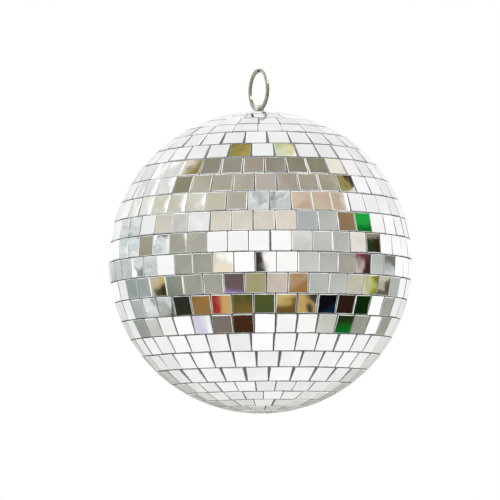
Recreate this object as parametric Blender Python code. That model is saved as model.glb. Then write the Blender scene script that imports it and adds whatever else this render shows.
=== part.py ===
"""A 15 cm mirror ball: glass tiles on tape strips round a two-piece plastic core, hung by a split ring.

Units are metres, +Z up. The origin is the point inside the top of the split ring that a hook or a
cord bears on. The ring stands in the XZ plane, and the ball swings about the X axis through the
bottom of the ring, where it passes through the hanging eye.
"""

import math

import bmesh
import bpy
from mathutils import Vector

MM = 0.001

# Split ring: flat spring wire wound two turns
RING_OUTER_DIA = 21.5 * MM
RING_RADIAL = 1.9 * MM
RING_WIRE = 0.55 * MM
RING_TURN_OFFSET = 0.35 * MM
RING_JOG_AT = math.radians(58.0)
RING_JOG_HALF = math.radians(29.0)
RING_END_CLEAR = math.radians(4.0)
RING_STEPS = 60

# Hinge: centre of the ring section at the bottom of the ring
RING_CENTRE_Z = -(RING_OUTER_DIA / 2 - RING_RADIAL)
HINGE_Z = RING_CENTRE_Z - (RING_OUTER_DIA - RING_RADIAL) / 2

# Ball, all radii from its centre
R_FACE = 74.9 * MM
TILE_THICK = 1.5 * MM
TAPE_THICK = 0.35 * MM
HINGE_OVER_FACE = 1.2 * MM
R_BACK = R_FACE - TILE_THICK
R_TAPE = R_BACK - TAPE_THICK
BALL_Z = HINGE_Z - HINGE_OVER_FACE - R_FACE

# Strips, counted from the equator towards a pole: whole square tiles first, then cut ones, which
# are lower and taper towards the pole
FULL_ROWS = 7
FIRST_ROW_DEG = 3.86
FULL_PITCH_DEG = 7.70
CUT_PITCH_DEG = 6.46
FIRST_CUT_DEG = FIRST_ROW_DEG + (FULL_ROWS - 0.5) * FULL_PITCH_DEG + 0.5 * CUT_PITCH_DEG + 0.05
ROW_HIGH_MM = (9.65, 9.65, 9.65, 9.6, 9.6, 9.5, 9.5, 7.85, 7.8, 7.7, 7.6, 7.5)
UPPER_TILES = (46, 44, 43, 40, 37, 32, 28, 22, 22, 18, 14, 10)
LOWER_TILES = (46, 45, 43, 41, 36, 32, 27, 27, 23, 18, 14, 10)
TILE_GAP = 0.24 * MM

# How each strip is turned: where two of its tiles meet, in degrees from the ball's front
FRONT_DEG = -26.4
UPPER_JOINT_DEG = (3.6, 5.6, 3.6, 7.0, 2.2, 7.2, 4.6, 15.4, 0.0, 6.0, 14.0, 9.0)
LOWER_JOINT_DEG = (5.8, 2.0, 5.6, 5.8, 5.6, 8.8, 4.0, 9.2, 1.0, 12.0, 5.0, 20.0)
SEAM_EXTRA = 0.25 * MM
SEAM_STEP_DEG = 137.5
LOWER_SEAM_DEG = 200.0
CAP_TILE_RADIUS = 4.5 * MM

# Core: two moulded half shells, the upper one with a locating lip
CORE_R = 72.6 * MM
CORE_WALL = 1.8 * MM
CORE_SPLIT = 0.15 * MM
LIP_OUTER = 70.5 * MM
LIP_INNER = 69.3 * MM
LIP_TOP = 3.0 * MM
LIP_DOWN = 2.5 * MM
CORE_HOLE = 2.35 * MM
CORE_SEGMENTS = 40
CORE_RINGS = 8

# Hanging eye, washer and nut, heights from the ball's centre
EYE_HOLE_R = 1.5 * MM
EYE_OUTER_R = 2.4 * MM
EYE_TAB = 1.8 * MM
TAB_ROOT = 0.4 * MM
FLANGE_R = 3.6 * MM
FLANGE_LOW = 72.8 * MM
FLANGE_HIGH = 74.2 * MM
GLUE_INNER = 3.75 * MM
GLUE_OUTER = 4.65 * MM
GLUE_HIGH = 74.5 * MM
SHANK_R = 2.0 * MM
SHANK_LOW = 63.0 * MM
WASHER_HIGH = 70.4 * MM
WASHER_THICK = 1.0 * MM
WASHER_OUTER = 5.0 * MM
NUT_HIGH = 69.1 * MM
NUT_THICK = 3.2 * MM
NUT_FLATS = 7.0 * MM
BORE_R = 2.3 * MM


def clear_scene():
    for obj in list(bpy.data.objects):
        bpy.data.objects.remove(obj, do_unlink=True)


def material(name, colour, metallic, roughness):
    mat = bpy.data.materials.new(name)
    mat.use_nodes = True
    shader = mat.node_tree.nodes["Principled BSDF"]
    shader.inputs["Base Color"].default_value = (*colour, 1.0)
    shader.inputs["Metallic"].default_value = metallic
    shader.inputs["Roughness"].default_value = roughness
    return mat


def make_object(name, points, faces, look, parent, smooth=None):
    """A closed solid from points and faces; its origin is the parent's."""
    mesh = bpy.data.meshes.new(name)
    shift = parent.location if parent else Vector()
    mesh.from_pydata([Vector(p) - shift for p in points], [], faces)
    bm = bmesh.new()
    bm.from_mesh(mesh)
    bmesh.ops.remove_doubles(bm, verts=bm.verts, dist=1e-7)
    bmesh.ops.recalc_face_normals(bm, faces=bm.faces)
    bm.to_mesh(mesh)
    bm.free()
    obj = bpy.data.objects.new(name, mesh)
    bpy.context.scene.collection.objects.link(obj)
    obj.parent = parent
    colour, metallic, roughness = look
    mesh.materials.append(material(name, colour, metallic, roughness))
    if smooth is not None:
        mesh.shade_smooth()
        mesh.set_sharp_from_angle(angle=math.radians(smooth))
    return obj


def pivot(name, z):
    empty = bpy.data.objects.new(name, None)
    empty.location = (0.0, 0.0, z)
    bpy.context.scene.collection.objects.link(empty)
    return empty


def lathe(profile, segments):
    """Points and faces of a closed (radius, height) profile turned about the ball's axis."""
    points = []
    rows = []
    for radius, height in profile:
        if radius < 1e-9:
            rows.append([len(points)] * segments)
            points.append((0.0, 0.0, BALL_Z + height))
            continue
        rows.append(list(range(len(points), len(points) + segments)))
        for i in range(segments):
            turn = 2 * math.pi * i / segments
            points.append((radius * math.cos(turn), radius * math.sin(turn), BALL_Z + height))
    faces = []
    for j, row in enumerate(rows):
        upper = rows[(j + 1) % len(rows)]
        for i in range(segments):
            k = (i + 1) % segments
            corners = [row[i], row[k], upper[k], upper[i]]
            face = [c for n, c in enumerate(corners) if c != corners[n - 1]]
            if len(face) > 2:
                faces.append(face)
    return points, faces


def prism(outline, low, high):
    """Points and faces of an (x, y) outline raised between two heights."""
    count = len(outline)
    points = [(x, y, low) for x, y in outline] + [(x, y, high) for x, y in outline]
    faces = [list(range(count)), list(range(count, 2 * count))]
    for i in range(count):
        k = (i + 1) % count
        faces.append([i, k, count + k, count + i])
    return points, faces


def circle(radius, count, turn=0.0):
    steps = [turn + 2 * math.pi * i / count for i in range(count)]
    return [(radius * math.cos(a), radius * math.sin(a)) for a in steps]


def combine(target, other, operation):
    """Apply an exact Boolean of two objects and remove the second."""
    change = target.modifiers.new("combine", "BOOLEAN")
    change.object = other
    change.operation = operation
    change.solver = "EXACT"
    bpy.context.view_layer.update()
    graph = bpy.context.evaluated_depsgraph_get()
    result = bpy.data.meshes.new_from_object(target.evaluated_get(graph))
    target.modifiers.remove(change)
    old = target.data
    name = old.name
    target.data = result
    bpy.data.meshes.remove(old)
    result.name = name
    bpy.data.objects.remove(other, do_unlink=True)


def row_layout(counts):
    """(latitude, tile height, width low, width high, count) of each row from the equator up."""
    rows = []
    for k, count in enumerate(counts):
        degrees = FIRST_ROW_DEG + FULL_PITCH_DEG * k
        if k >= FULL_ROWS:
            degrees = FIRST_CUT_DEG + CUT_PITCH_DEG * (k - FULL_ROWS)
        latitude = math.radians(degrees)
        high = ROW_HIGH_MM[k] * MM
        wedge = 2 * math.tan(math.pi / count)
        top = wedge * (R_BACK * math.cos(latitude) - high / 2 * math.sin(latitude)) - TILE_GAP
        low = top
        if k >= FULL_ROWS:
            low = wedge * (R_BACK * math.cos(latitude) + high / 2 * math.sin(latitude)) - TILE_GAP
        rows.append((latitude, high, low, top, count))
    return rows


def tile_azimuths(row, count, latitude, upper):
    """Azimuth of each tile's middle, starting at the seam where the tape's ends meet."""
    joint = (UPPER_JOINT_DEG if upper else LOWER_JOINT_DEG)[row]
    turn = SEAM_STEP_DEG * row + (0.0 if upper else LOWER_SEAM_DEG)
    step = 360 / count
    seam = math.radians(FRONT_DEG + joint + step * round(turn / step))
    seam_width = SEAM_EXTRA / (R_BACK * math.cos(latitude))
    pitch = (2 * math.pi - seam_width) / count
    return [seam + seam_width / 2 + pitch * (i + 0.5) for i in range(count)], pitch


def strip_solid(row, layout, upper):
    """One tape strip with its row of raised glass tiles, open where its ends meet."""
    latitude, high, wide_low, wide_high, count = layout
    azimuths, pitch = tile_azimuths(row, count, latitude, upper)
    cos_lat = math.cos(latitude)
    sin_lat = math.sin(latitude)
    half = high / 2
    points = []
    faces = []

    def add(azimuth, along, up, radius):
        rho = radius * cos_lat - up * sin_lat
        x = rho * math.cos(azimuth) - along * math.sin(azimuth)
        y = rho * math.sin(azimuth) + along * math.cos(azimuth)
        z = radius * sin_lat + up * cos_lat
        points.append((x, y, BALL_Z + (z if upper else -z)))
        return len(points) - 1

    def add_between(azimuth, up):
        rho = (R_TAPE * cos_lat - up * sin_lat) / math.cos(pitch / 2)
        z = R_TAPE * sin_lat + up * cos_lat
        x = rho * math.cos(azimuth)
        y = rho * math.sin(azimuth)
        points.append((x, y, BALL_Z + (z if upper else -z)))
        return len(points) - 1

    sides = ((-half, wide_low / 2), (half, wide_high / 2))
    tape = [[add(azimuths[0], -wide, up, R_TAPE) for up, wide in sides]]
    for azimuth in azimuths[:-1]:
        tape.append([add_between(azimuth + pitch / 2, up) for up, wide in sides])
    tape.append([add(azimuths[-1], wide, up, R_TAPE) for up, wide in sides])

    last = None
    for i, azimuth in enumerate(azimuths):
        base_w = [add(azimuth, -wide, up, R_BACK) for up, wide in sides]
        base_e = [add(azimuth, wide, up, R_BACK) for up, wide in sides]
        face_w = [add(azimuth, -wide, up, R_FACE) for up, wide in sides]
        face_e = [add(azimuth, wide, up, R_FACE) for up, wide in sides]
        faces.append([face_w[0], face_e[0], face_e[1], face_w[1]])
        faces.append([base_w[0], base_w[1], face_w[1], face_w[0]])
        faces.append([base_e[0], base_e[1], face_e[1], face_e[0]])
        faces.append([tape[i][0], tape[i + 1][0], tape[i + 1][1], tape[i][1]])
        for side in range(2):
            faces.append([base_w[side], base_e[side], face_e[side], face_w[side]])
            faces.append([tape[i][side], tape[i + 1][side], base_e[side], base_w[side]])
        if last:
            faces.append([last[0], base_w[0], base_w[1], last[1]])
            faces.append([tape[i][0], last[0], base_w[0]])
            faces.append([tape[i][1], last[1], base_w[1]])
        else:
            faces.append([tape[0][0], tape[0][1], base_w[1], base_w[0]])
        last = base_e
    faces.append([tape[-1][0], tape[-1][1], last[1], last[0]])
    return points, faces


def split_ring_solid():
    """Two turns of flat wire, crossing from one layer to the other at the jog."""
    first = RING_JOG_AT + RING_JOG_HALF + RING_END_CLEAR
    last = RING_JOG_AT + 4 * math.pi - RING_JOG_HALF - RING_END_CLEAR
    jog = RING_JOG_AT + 2 * math.pi
    inner = RING_OUTER_DIA / 2 - RING_RADIAL
    outer = RING_OUTER_DIA / 2
    points = []
    for step in range(RING_STEPS + 1):
        turn = first + (last - first) * step / RING_STEPS
        share = min(1.0, max(-1.0, (turn - jog) / RING_JOG_HALF))
        y = RING_TURN_OFFSET * share
        for radius, side in ((inner, -1), (outer, -1), (outer, 1), (inner, 1)):
            x = radius * math.cos(turn)
            z = RING_CENTRE_Z + radius * math.sin(turn)
            points.append((x, y + side * RING_WIRE / 2, z))
    faces = [[0, 1, 2, 3], [len(points) - 4 + i for i in range(4)]]
    for step in range(RING_STEPS):
        low = 4 * step
        for i in range(4):
            k = (i + 1) % 4
            faces.append([low + i, low + k, low + 4 + k, low + 4 + i])
    return points, faces


def eye_tab_solid():
    """Flat tab on the flange with a round top about the hinge."""
    foot = BALL_Z + FLANGE_HIGH - TAB_ROOT
    outline = [(-EYE_OUTER_R, foot), (EYE_OUTER_R, foot)]
    for i in range(13):
        turn = math.pi * i / 12
        outline.append((EYE_OUTER_R * math.cos(turn), HINGE_Z + EYE_OUTER_R * math.sin(turn)))
    count = len(outline)
    points = [(-EYE_TAB / 2, y, z) for y, z in outline] + [(EYE_TAB / 2, y, z) for y, z in outline]
    faces = [list(range(count)), list(range(count, 2 * count))]
    for i in range(count):
        k = (i + 1) % count
        faces.append([i, k, count + k, count + i])
    return points, faces


def arc(radius, start, end, count):
    """(radius, height) points on a meridian between two latitudes."""
    steps = [start + (end - start) * i / count for i in range(count + 1)]
    return [(radius * math.cos(a), radius * math.sin(a)) for a in steps]


def build_hanger(ring_root, ball_root):
    points, faces = split_ring_solid()
    make_object("split_ring", points, faces, ((0.62, 0.61, 0.55), 1.0, 0.2), ring_root, smooth=35)

    clear_plastic = ((0.86, 0.86, 0.82), 0.0, 0.35)
    shoulder = 0.3 * MM
    profile = [
        (0.0, SHANK_LOW),
        (SHANK_R - shoulder, SHANK_LOW),
        (SHANK_R, SHANK_LOW + shoulder),
        (SHANK_R, FLANGE_LOW),
        (FLANGE_R, FLANGE_LOW),
        (FLANGE_R, FLANGE_HIGH - shoulder),
        (FLANGE_R - shoulder, FLANGE_HIGH),
        (0.0, FLANGE_HIGH),
    ]
    points, faces = lathe(profile, 24)
    eye = make_object("hanger_eye", points, faces, clear_plastic, ball_root, smooth=35)
    points, faces = eye_tab_solid()
    tab = make_object("eye_tab", points, faces, clear_plastic, ball_root)
    combine(eye, tab, "UNION")
    hole = [(y, HINGE_Z + z) for y, z in circle(EYE_HOLE_R, 20)]
    count = len(hole)
    points = [(side * 2 * EYE_TAB, y, z) for side in (-1, 1) for y, z in hole]
    faces = [list(range(count)), list(range(count, 2 * count))]
    faces += [[i, (i + 1) % count, count + (i + 1) % count, count + i] for i in range(count)]
    drill = make_object("eye_drill", points, faces, clear_plastic, ball_root)
    combine(eye, drill, "DIFFERENCE")

    middle = (GLUE_INNER + GLUE_OUTER) / 2
    profile = [
        (GLUE_INNER, FLANGE_LOW),
        (GLUE_OUTER, FLANGE_LOW),
        (GLUE_OUTER, GLUE_HIGH - 0.3 * MM),
        (middle, GLUE_HIGH),
        (GLUE_INNER, GLUE_HIGH - 0.3 * MM),
    ]
    points, faces = lathe(profile, 32)
    make_object("eye_glue", points, faces, ((0.72, 0.7, 0.62), 0.0, 0.25), ball_root, smooth=40)

    profile = [
        (BORE_R, WASHER_HIGH - WASHER_THICK),
        (WASHER_OUTER, WASHER_HIGH - WASHER_THICK),
        (WASHER_OUTER, WASHER_HIGH),
        (BORE_R, WASHER_HIGH),
    ]
    points, faces = lathe(profile, 24)
    make_object("hanger_washer", points, faces, ((0.7, 0.7, 0.7), 1.0, 0.3), ball_root, smooth=35)

    outline = circle(NUT_FLATS / math.sqrt(3), 6)
    points, faces = prism(outline, BALL_Z + NUT_HIGH - NUT_THICK, BALL_Z + NUT_HIGH)
    nut = make_object("hanger_nut", points, faces, ((0.7, 0.7, 0.68), 1.0, 0.3), ball_root, smooth=35)
    low = BALL_Z + NUT_HIGH - 2 * NUT_THICK
    points, faces = prism(circle(BORE_R, 20), low, BALL_Z + NUT_HIGH + NUT_THICK)
    bore = make_object("nut_bore", points, faces, clear_plastic, ball_root)
    combine(nut, bore, "DIFFERENCE")


def build_core(ball_root):
    plastic = ((0.78, 0.78, 0.74), 0.0, 0.5)
    inner = CORE_R - CORE_WALL
    outer_start = math.asin(CORE_SPLIT / CORE_R)
    upper = arc(CORE_R, outer_start, math.acos(CORE_HOLE / CORE_R), CORE_RINGS)
    upper += arc(inner, math.acos(CORE_HOLE / inner), math.asin(LIP_TOP / inner), CORE_RINGS)
    upper += [(LIP_INNER, LIP_TOP), (LIP_INNER, -LIP_DOWN), (LIP_OUTER, -LIP_DOWN), (LIP_OUTER, CORE_SPLIT)]
    points, faces = lathe(upper, CORE_SEGMENTS)
    make_object("core_upper_shell", points, faces, plastic, ball_root, smooth=35)

    lower = arc(CORE_R, -outer_start, -math.pi / 2, CORE_RINGS)
    lower[-1] = (0.0, -CORE_R)
    back = arc(inner, -math.pi / 2, -math.asin(CORE_SPLIT / inner), CORE_RINGS)
    back[0] = (0.0, -inner)
    points, faces = lathe(lower + back, CORE_SEGMENTS)
    make_object("core_lower_shell", points, faces, plastic, ball_root, smooth=35)


def build_mirror(ball_root):
    glass = ((0.9, 0.91, 0.92), 1.0, 0.05)
    for half, counts in (("upper", UPPER_TILES), ("lower", LOWER_TILES)):
        for row, layout in enumerate(row_layout(counts)):
            points, faces = strip_solid(row, layout, half == "upper")
            name = "mirror_strip_{}{:02d}".format(half, row + 1)
            make_object(name, points, faces, glass, ball_root)
    outline = circle(CAP_TILE_RADIUS, 8, math.pi / 8)
    points, faces = prism(outline, BALL_Z - R_FACE, BALL_Z - R_TAPE)
    make_object("bottom_cap_tile", points, faces, glass, ball_root)


def main():
    clear_scene()
    ring_root = pivot("ring_root", 0.0)
    ball_root = pivot("ball_pivot", HINGE_Z)
    build_hanger(ring_root, ball_root)
    build_core(ball_root)
    build_mirror(ball_root)


main()
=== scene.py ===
"""Looks of the mirror ball: cut glass tiles on cloth tape, a moulded eye set in glue, and a split ring.

Metres, +Z up, origin at the hang point inside the top of the ring. The sizes and the row layout
repeat those of the CAD part.
"""

import math
import random

import bmesh
import bpy
from mathutils import Matrix, Vector, noise


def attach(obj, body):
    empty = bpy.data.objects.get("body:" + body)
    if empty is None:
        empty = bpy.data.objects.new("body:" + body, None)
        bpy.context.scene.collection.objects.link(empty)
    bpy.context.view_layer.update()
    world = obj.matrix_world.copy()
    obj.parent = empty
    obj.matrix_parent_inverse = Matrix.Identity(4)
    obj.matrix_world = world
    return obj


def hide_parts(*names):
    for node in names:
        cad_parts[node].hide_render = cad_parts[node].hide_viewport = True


MM = 0.001

# Ring
RING_OUTER = 10.75 * MM
RING_RADIAL = 1.9 * MM
RING_WIRE = 0.55 * MM
RING_OFFSET = 0.35 * MM
RING_JOG_AT = math.radians(58.0)
RING_JOG_HALF = math.radians(29.0)
RING_END_CLEAR = math.radians(4.0)
RING_CENTRE_Z = -(RING_OUTER - RING_RADIAL)
HINGE_Z = RING_CENTRE_Z - RING_OUTER + RING_RADIAL / 2

# Ball
R_FACE = 74.9 * MM
R_BACK = 73.4 * MM
R_TAPE = 73.05 * MM
EYE_DROP = 1.2 * MM
BALL_Z = HINGE_Z - EYE_DROP - R_FACE
BALL = Vector((0.0, 0.0, BALL_Z))

# Rows, counted from the equator towards a pole: whole tiles, then cut ones
FULL_ROWS = 7
FIRST_ROW_DEG = 3.86
FULL_PITCH_DEG = 7.70
CUT_PITCH_DEG = 6.46
CUT_SHIFT_DEG = 0.05
FIRST_CUT_DEG = FIRST_ROW_DEG + (FULL_ROWS - 0.5) * FULL_PITCH_DEG + 0.5 * CUT_PITCH_DEG + CUT_SHIFT_DEG
ROW_HIGH_MM = (9.65, 9.65, 9.65, 9.6, 9.6, 9.5, 9.5, 7.85, 7.8, 7.7, 7.6, 7.5)
UPPER_TILES = (46, 44, 43, 40, 37, 32, 28, 22, 22, 18, 14, 10)
LOWER_TILES = (46, 45, 43, 41, 36, 32, 27, 27, 23, 18, 14, 10)
TILE_GAP = 0.18 * MM
WEDGE_FILL = 0.35
FRONT_DEG = -26.4
UPPER_JOINT_DEG = (3.6, 5.6, 3.6, 7.0, 2.2, 7.2, 4.6, 15.4, 0.0, 6.0, 14.0, 9.0)
LOWER_JOINT_DEG = (5.8, 2.0, 5.6, 5.8, 5.6, 8.8, 4.0, 9.2, 1.0, 12.0, 5.0, 20.0)
SEAM_EXTRA = 0.25 * MM
SEAM_STEP_DEG = 137.5
LOWER_SEAM_DEG = 200.0
TAPE_INSET = 0.35 * MM
TAPE_END = 0.47

# Material numbers on a strip, and the starts of its two rows of random draws
MIRROR, EDGE, SIDE, TAPE = range(4)
GLASS_SEED = 1000
EDGE_SEED = 5000
CAP_GLASS_SEED = 77
CAP_EDGE_SEED = 78

# How the glass is cut and laid
FACE_DROP = 0.12 * MM
GLASS_FOOT = 0.04 * MM
TILT_DEG = 0.55
TILT_MOST_DEG = 1.15
TWIST_DEG = 0.45
TWIST_MOST_DEG = 1.0
TRIM = 0.04 * MM
LOOSE_TRIM = 0.1 * MM
LOOSE_FROM_ROW = 5
CORNER_MM = (0.12, 0.25)
CHIPPED_CORNER_MM = (0.3, 0.6)
CHIPPED_SHARE = 0.25
DENT_MM = 0.04
SIDE_STATIONS = (0.0, 0.25, 0.5, 0.75, 1.0)
SHADE = (0.55, 0.26)
BEVEL = 0.2 * MM
BEVEL_BY_TILE = (0.75, 1.2)
BEVEL_BY_POINT = (0.75, 1.3)
BEVEL_DOWN = 0.75
BEVEL_IN = 1.25

# Bevel widths as factors, and how pale bevels (edge tones) and broken sides (gap tones) are, 0 to 1
EDGE_WIDE = (0.7, 0.9, 1.1, 1.5)
# Top edges pale: a painted highlight, as if lit from above
TOP_PAINTED_HIGHLIGHT_TONES = (0.6, 0.95, 1.0, 1.0)
SIDE_TONES = (0.1, 0.3, 0.55, 0.8, 1.0)
# Paler side tones for tiles on the side towards the lens: a painted highlight
PAINTED_HIGHLIGHT_SIDE_TONES = (0.3, 0.8, 1.0, 1.0, 1.0)
# Foot edges darker: painted shade
FOOT_PAINTED_SHADE_TONES = (0.15, 0.35, 0.55, 0.8)
GAP_TONES = (0.0, 0.0, 0.1, 0.4)
# Paler gap tones for tiles on the side towards the lens: painted light on the broken sides
PAINTED_HIGHLIGHT_GAP_TONES = (0.1, 0.6, 1.0, 1.0)

# How many rows, from the equator out, get pale cut edges and pale broken sides on the side towards the
# lens, a painted highlight, and where
PAINTED_HIGHLIGHT_ROWS = {"upper": 5, "lower": 2}
PAINTED_HIGHLIGHT_FROM_DEG = -52.0
PAINTED_HIGHLIGHT_TO_DEG = 36.0

# Bottom cap
CAP_SIDES = 8
CAP_R = 4.4 * MM
CAP_BACKING = 0.93

# Eye, from its shank up, and glue; heights are above the ball's centre
SHANK_FOOT = 63.0 * MM
SHANK_R = 2.0 * MM
FLANGE_R = 3.6 * MM
FLANGE_LOW = 72.8 * MM
FLANGE_HIGH = 74.2 * MM
FLANGE_SOFT = 0.2 * MM
TAB_R = 2.4 * MM
TAB_HOLE_R = 1.5 * MM
TAB_THICK = 1.8 * MM
TAB_SOFT = 0.3 * MM
TAB_FOOT = 73.9 * MM
GLUE_R = 4.2 * MM
GLUE_HEIGHT = 74.0 * MM
GLUE_WIDE = 0.5 * MM
GLUE_HIGH = 0.55 * MM

# View of the picture
VIEW_AZ = math.radians(63.6)
VIEW_EL = math.radians(-4.1)
VIEW_DISTANCE = 1.652
VIEW_LENS = 240.0
VIEW_ROLL = math.radians(0.6)
AIM_RIGHT = 5.2 * MM
AIM_UP = 6.2 * MM

# Floor and lamps
FLOOR_R = 1.55
FLOOR_Z = -1.30
FLOOR_THICK = 0.02
FLOOR_RISE = 0.005
TOP_LAMP_AT = (0.45, -0.5, 0.95)
TOP_LAMP_WIDE = 0.8
TOP_LAMP_POWER = 6.0
GLINT_AT = (0.64, 0.44, 0.62)
GLINT_WIDE = 0.4
GLINT_POWER = 4.0


# ---------------------------------------------------------------- nodes


class Tree:
    """Short calls for the shader nodes used below."""

    def __init__(self, owner):
        owner.use_nodes = True
        self.tree = owner.node_tree
        self.tree.nodes.clear()

    def add(self, kind, inputs=None, **settings):
        node = self.tree.nodes.new(kind)
        for key, value in settings.items():
            setattr(node, key, value)
        for key, value in (inputs or {}).items():
            self.put(node.inputs[key], value)
        return node

    def put(self, socket, value):
        if isinstance(value, bpy.types.NodeSocket):
            self.tree.links.new(value, socket)
        else:
            socket.default_value = value

    def math(self, operation, first, second=0.0, third=0.0):
        node = self.add("ShaderNodeMath", operation=operation)
        for socket, value in zip(node.inputs, (first, second, third)):
            self.put(socket, value)
        return node.outputs[0]

    def dot(self, first, second):
        node = self.add("ShaderNodeVectorMath", operation="DOT_PRODUCT")
        self.put(node.inputs[0], first)
        self.put(node.inputs[1], second)
        return node.outputs["Value"]

    def mix(self, share, first, second):
        node = self.add("ShaderNodeMix", data_type="RGBA")
        self.put(node.inputs[0], share)
        self.put(node.inputs[6], first)
        self.put(node.inputs[7], second)
        return node.outputs[2]

    def multiply(self, first, second):
        node = self.add("ShaderNodeMix", data_type="RGBA", blend_type="MULTIPLY")
        self.put(node.inputs[0], 1.0)
        self.put(node.inputs[6], first)
        self.put(node.inputs[7], second)
        return node.outputs[2]

    def spread(self, value, low, high, out_low=0.0, out_high=1.0, smooth=False):
        kind = "SMOOTHSTEP" if smooth else "LINEAR"
        node = self.add("ShaderNodeMapRange", interpolation_type=kind)
        for socket, number in zip(node.inputs, (value, low, high, out_low, out_high)):
            self.put(socket, number)
        return node.outputs[0]

    def ramp(self, value, stops, kind="LINEAR"):
        """Stops are (place, colour) in rising order."""
        node = self.add("ShaderNodeValToRGB")
        node.color_ramp.interpolation = kind
        elements = node.color_ramp.elements
        elements.remove(elements[1])
        elements[0].position = stops[0][0]
        elements[0].color = stops[0][1]
        for place, colour in stops[1:]:
            elements.new(place).color = colour
        self.put(node.inputs[0], value)
        return node.outputs[0]

    def patches(self, value, low, high):
        """One colour where a noise is low and another where it is high."""
        return self.ramp(value, ((0.3, (*low, 1)), (0.7, (*high, 1))))

    def noise(self, vector, scale, detail=2.0, roughness=0.5, distortion=0.0):
        inputs = {"Scale": scale, "Detail": detail, "Roughness": roughness, "Distortion": distortion}
        node = self.add("ShaderNodeTexNoise", inputs=inputs)
        self.put(node.inputs["Vector"], vector)
        return node.outputs["Fac"]


def srgb(red, green, blue):
    """A display colour from 0 to 255 as a linear one."""
    out = []
    for value in (red, green, blue):
        share = value / 255
        out.append(share / 12.92 if share <= 0.04045 else ((share + 0.055) / 1.055) ** 2.4)
    return (*out, 1.0)


def principled(name):
    """A material with its tree, its Principled shader and object coordinates."""
    mat = bpy.data.materials.new(name)
    tree = Tree(mat)
    shader = tree.add("ShaderNodeBsdfPrincipled")
    output = tree.add("ShaderNodeOutputMaterial")
    tree.put(output.inputs["Surface"], shader.outputs[0])
    place = tree.add("ShaderNodeTexCoord").outputs["Object"]
    return mat, tree, shader, place


def bump(tree, height, distance, strength=1.0):
    node = tree.add("ShaderNodeBump", inputs={"Strength": strength, "Distance": distance})
    tree.put(node.inputs["Height"], height)
    return node.outputs["Normal"]


# ---------------------------------------------------------------- materials


def mirror_material():
    """Silvered face: nearly perfect, a little wavy, faintly smudged, each tile its own shade."""
    mat, tree, shader, place = principled("silvered_glass")
    own = tree.add("ShaderNodeAttribute", attribute_name="tile_shade").outputs["Fac"]
    shades = ((0.0, (0.85, 0.86, 0.85, 1)), (0.5, (0.91, 0.915, 0.91, 1)), (1.0, (0.965, 0.97, 0.965, 1)))
    tone = tree.ramp(own, shades)
    smudge = tree.noise(place, 210.0, 4.0, 0.6)
    film = tree.spread(smudge, 0.52, 0.78, 0.0, 0.10, smooth=True)
    colour = tree.mix(film, tone, (0.66, 0.67, 0.66, 1))
    tree.put(shader.inputs["Base Color"], colour)
    shader.inputs["Metallic"].default_value = 1.0
    tree.put(shader.inputs["Roughness"], tree.spread(smudge, 0.35, 0.8, 0.008, 0.035))
    wave = tree.noise(place, 95.0, 1.0, 0.4)
    tree.put(shader.inputs["Normal"], bump(tree, wave, 0.00001))
    return mat


def edge_material():
    """Ground bevel of the cut glass, slightly green, each side of a tile as pale as its edge tone, which is
    partly random and partly painted highlight and painted shade.
    """
    mat, tree, shader, place = principled("cut_glass_edge")
    grain = tree.noise(place, 1400.0, 3.0, 0.6)
    # The edge tone holds a random tone together with painted highlights and painted shade
    own = tree.add("ShaderNodeAttribute", attribute_name="edge_tone_and_painted_light").outputs["Fac"]
    tones = ((0.0, (0.20, 0.22, 0.21, 1)), (0.5, (0.62, 0.65, 0.63, 1)), (1.0, (0.98, 0.99, 0.98, 1)))
    uneven = tree.math("ADD", own, tree.spread(tree.noise(place, 420.0), 0.3, 0.7, -0.12, 0.12))
    tree.put(shader.inputs["Base Color"], tree.ramp(uneven, tones))
    tree.put(shader.inputs["Roughness"], tree.spread(grain, 0.3, 0.7, 0.12, 0.34))
    shader.inputs["IOR"].default_value = 1.52
    tree.put(shader.inputs["Normal"], bump(tree, grain, 0.00004, 0.6))
    return mat


def side_material():
    """Broken side of the glass: dull grey like the dark gap for most, pale by its edge tone; the pale ones
    on the side towards the lens are painted light.
    """
    mat, tree, shader, place = principled("glass_side")
    grain = tree.noise(place, 900.0, 3.0, 0.6)
    # The edge tone here is the gap tone: random, with painted light on the side towards the lens
    own = tree.add("ShaderNodeAttribute", attribute_name="edge_tone_and_painted_light").outputs["Fac"]
    dull = tree.patches(grain, (0.24, 0.26, 0.25), (0.48, 0.51, 0.49))
    pale = tree.patches(grain, (0.82, 0.84, 0.83), (0.96, 0.97, 0.96))
    tree.put(shader.inputs["Base Color"], tree.mix(own, dull, pale))
    tree.put(shader.inputs["Roughness"], tree.spread(grain, 0.3, 0.7, 0.15, 0.4))
    shader.inputs["IOR"].default_value = 1.52
    tree.put(shader.inputs["Normal"], bump(tree, grain, 0.00005, 0.7))
    return mat


def tape_material():
    """Grey cloth tape with a plain weave."""
    mat, tree, shader, place = principled("cloth_tape")
    threads = {"Vector": place, "Scale": 620.0, "Distortion": 1.2}
    warp = tree.add("ShaderNodeTexWave", inputs=threads, wave_type="BANDS")
    weft = tree.add("ShaderNodeTexWave", inputs=threads, wave_type="BANDS", bands_direction="Z")
    cloth = tree.math("MULTIPLY", warp.outputs["Fac"], weft.outputs["Fac"])
    dirt = tree.noise(place, 160.0, 3.0, 0.6)
    dark = tree.mix(dirt, (0.16, 0.16, 0.155, 1), (0.26, 0.26, 0.25, 1))
    lit_threads = tree.math("MULTIPLY", cloth, 0.5)
    tree.put(shader.inputs["Base Color"], tree.mix(lit_threads, dark, (0.42, 0.42, 0.40, 1)))
    shader.inputs["Roughness"].default_value = 0.85
    tree.put(shader.inputs["Normal"], bump(tree, cloth, 0.00006))
    return mat


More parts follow.
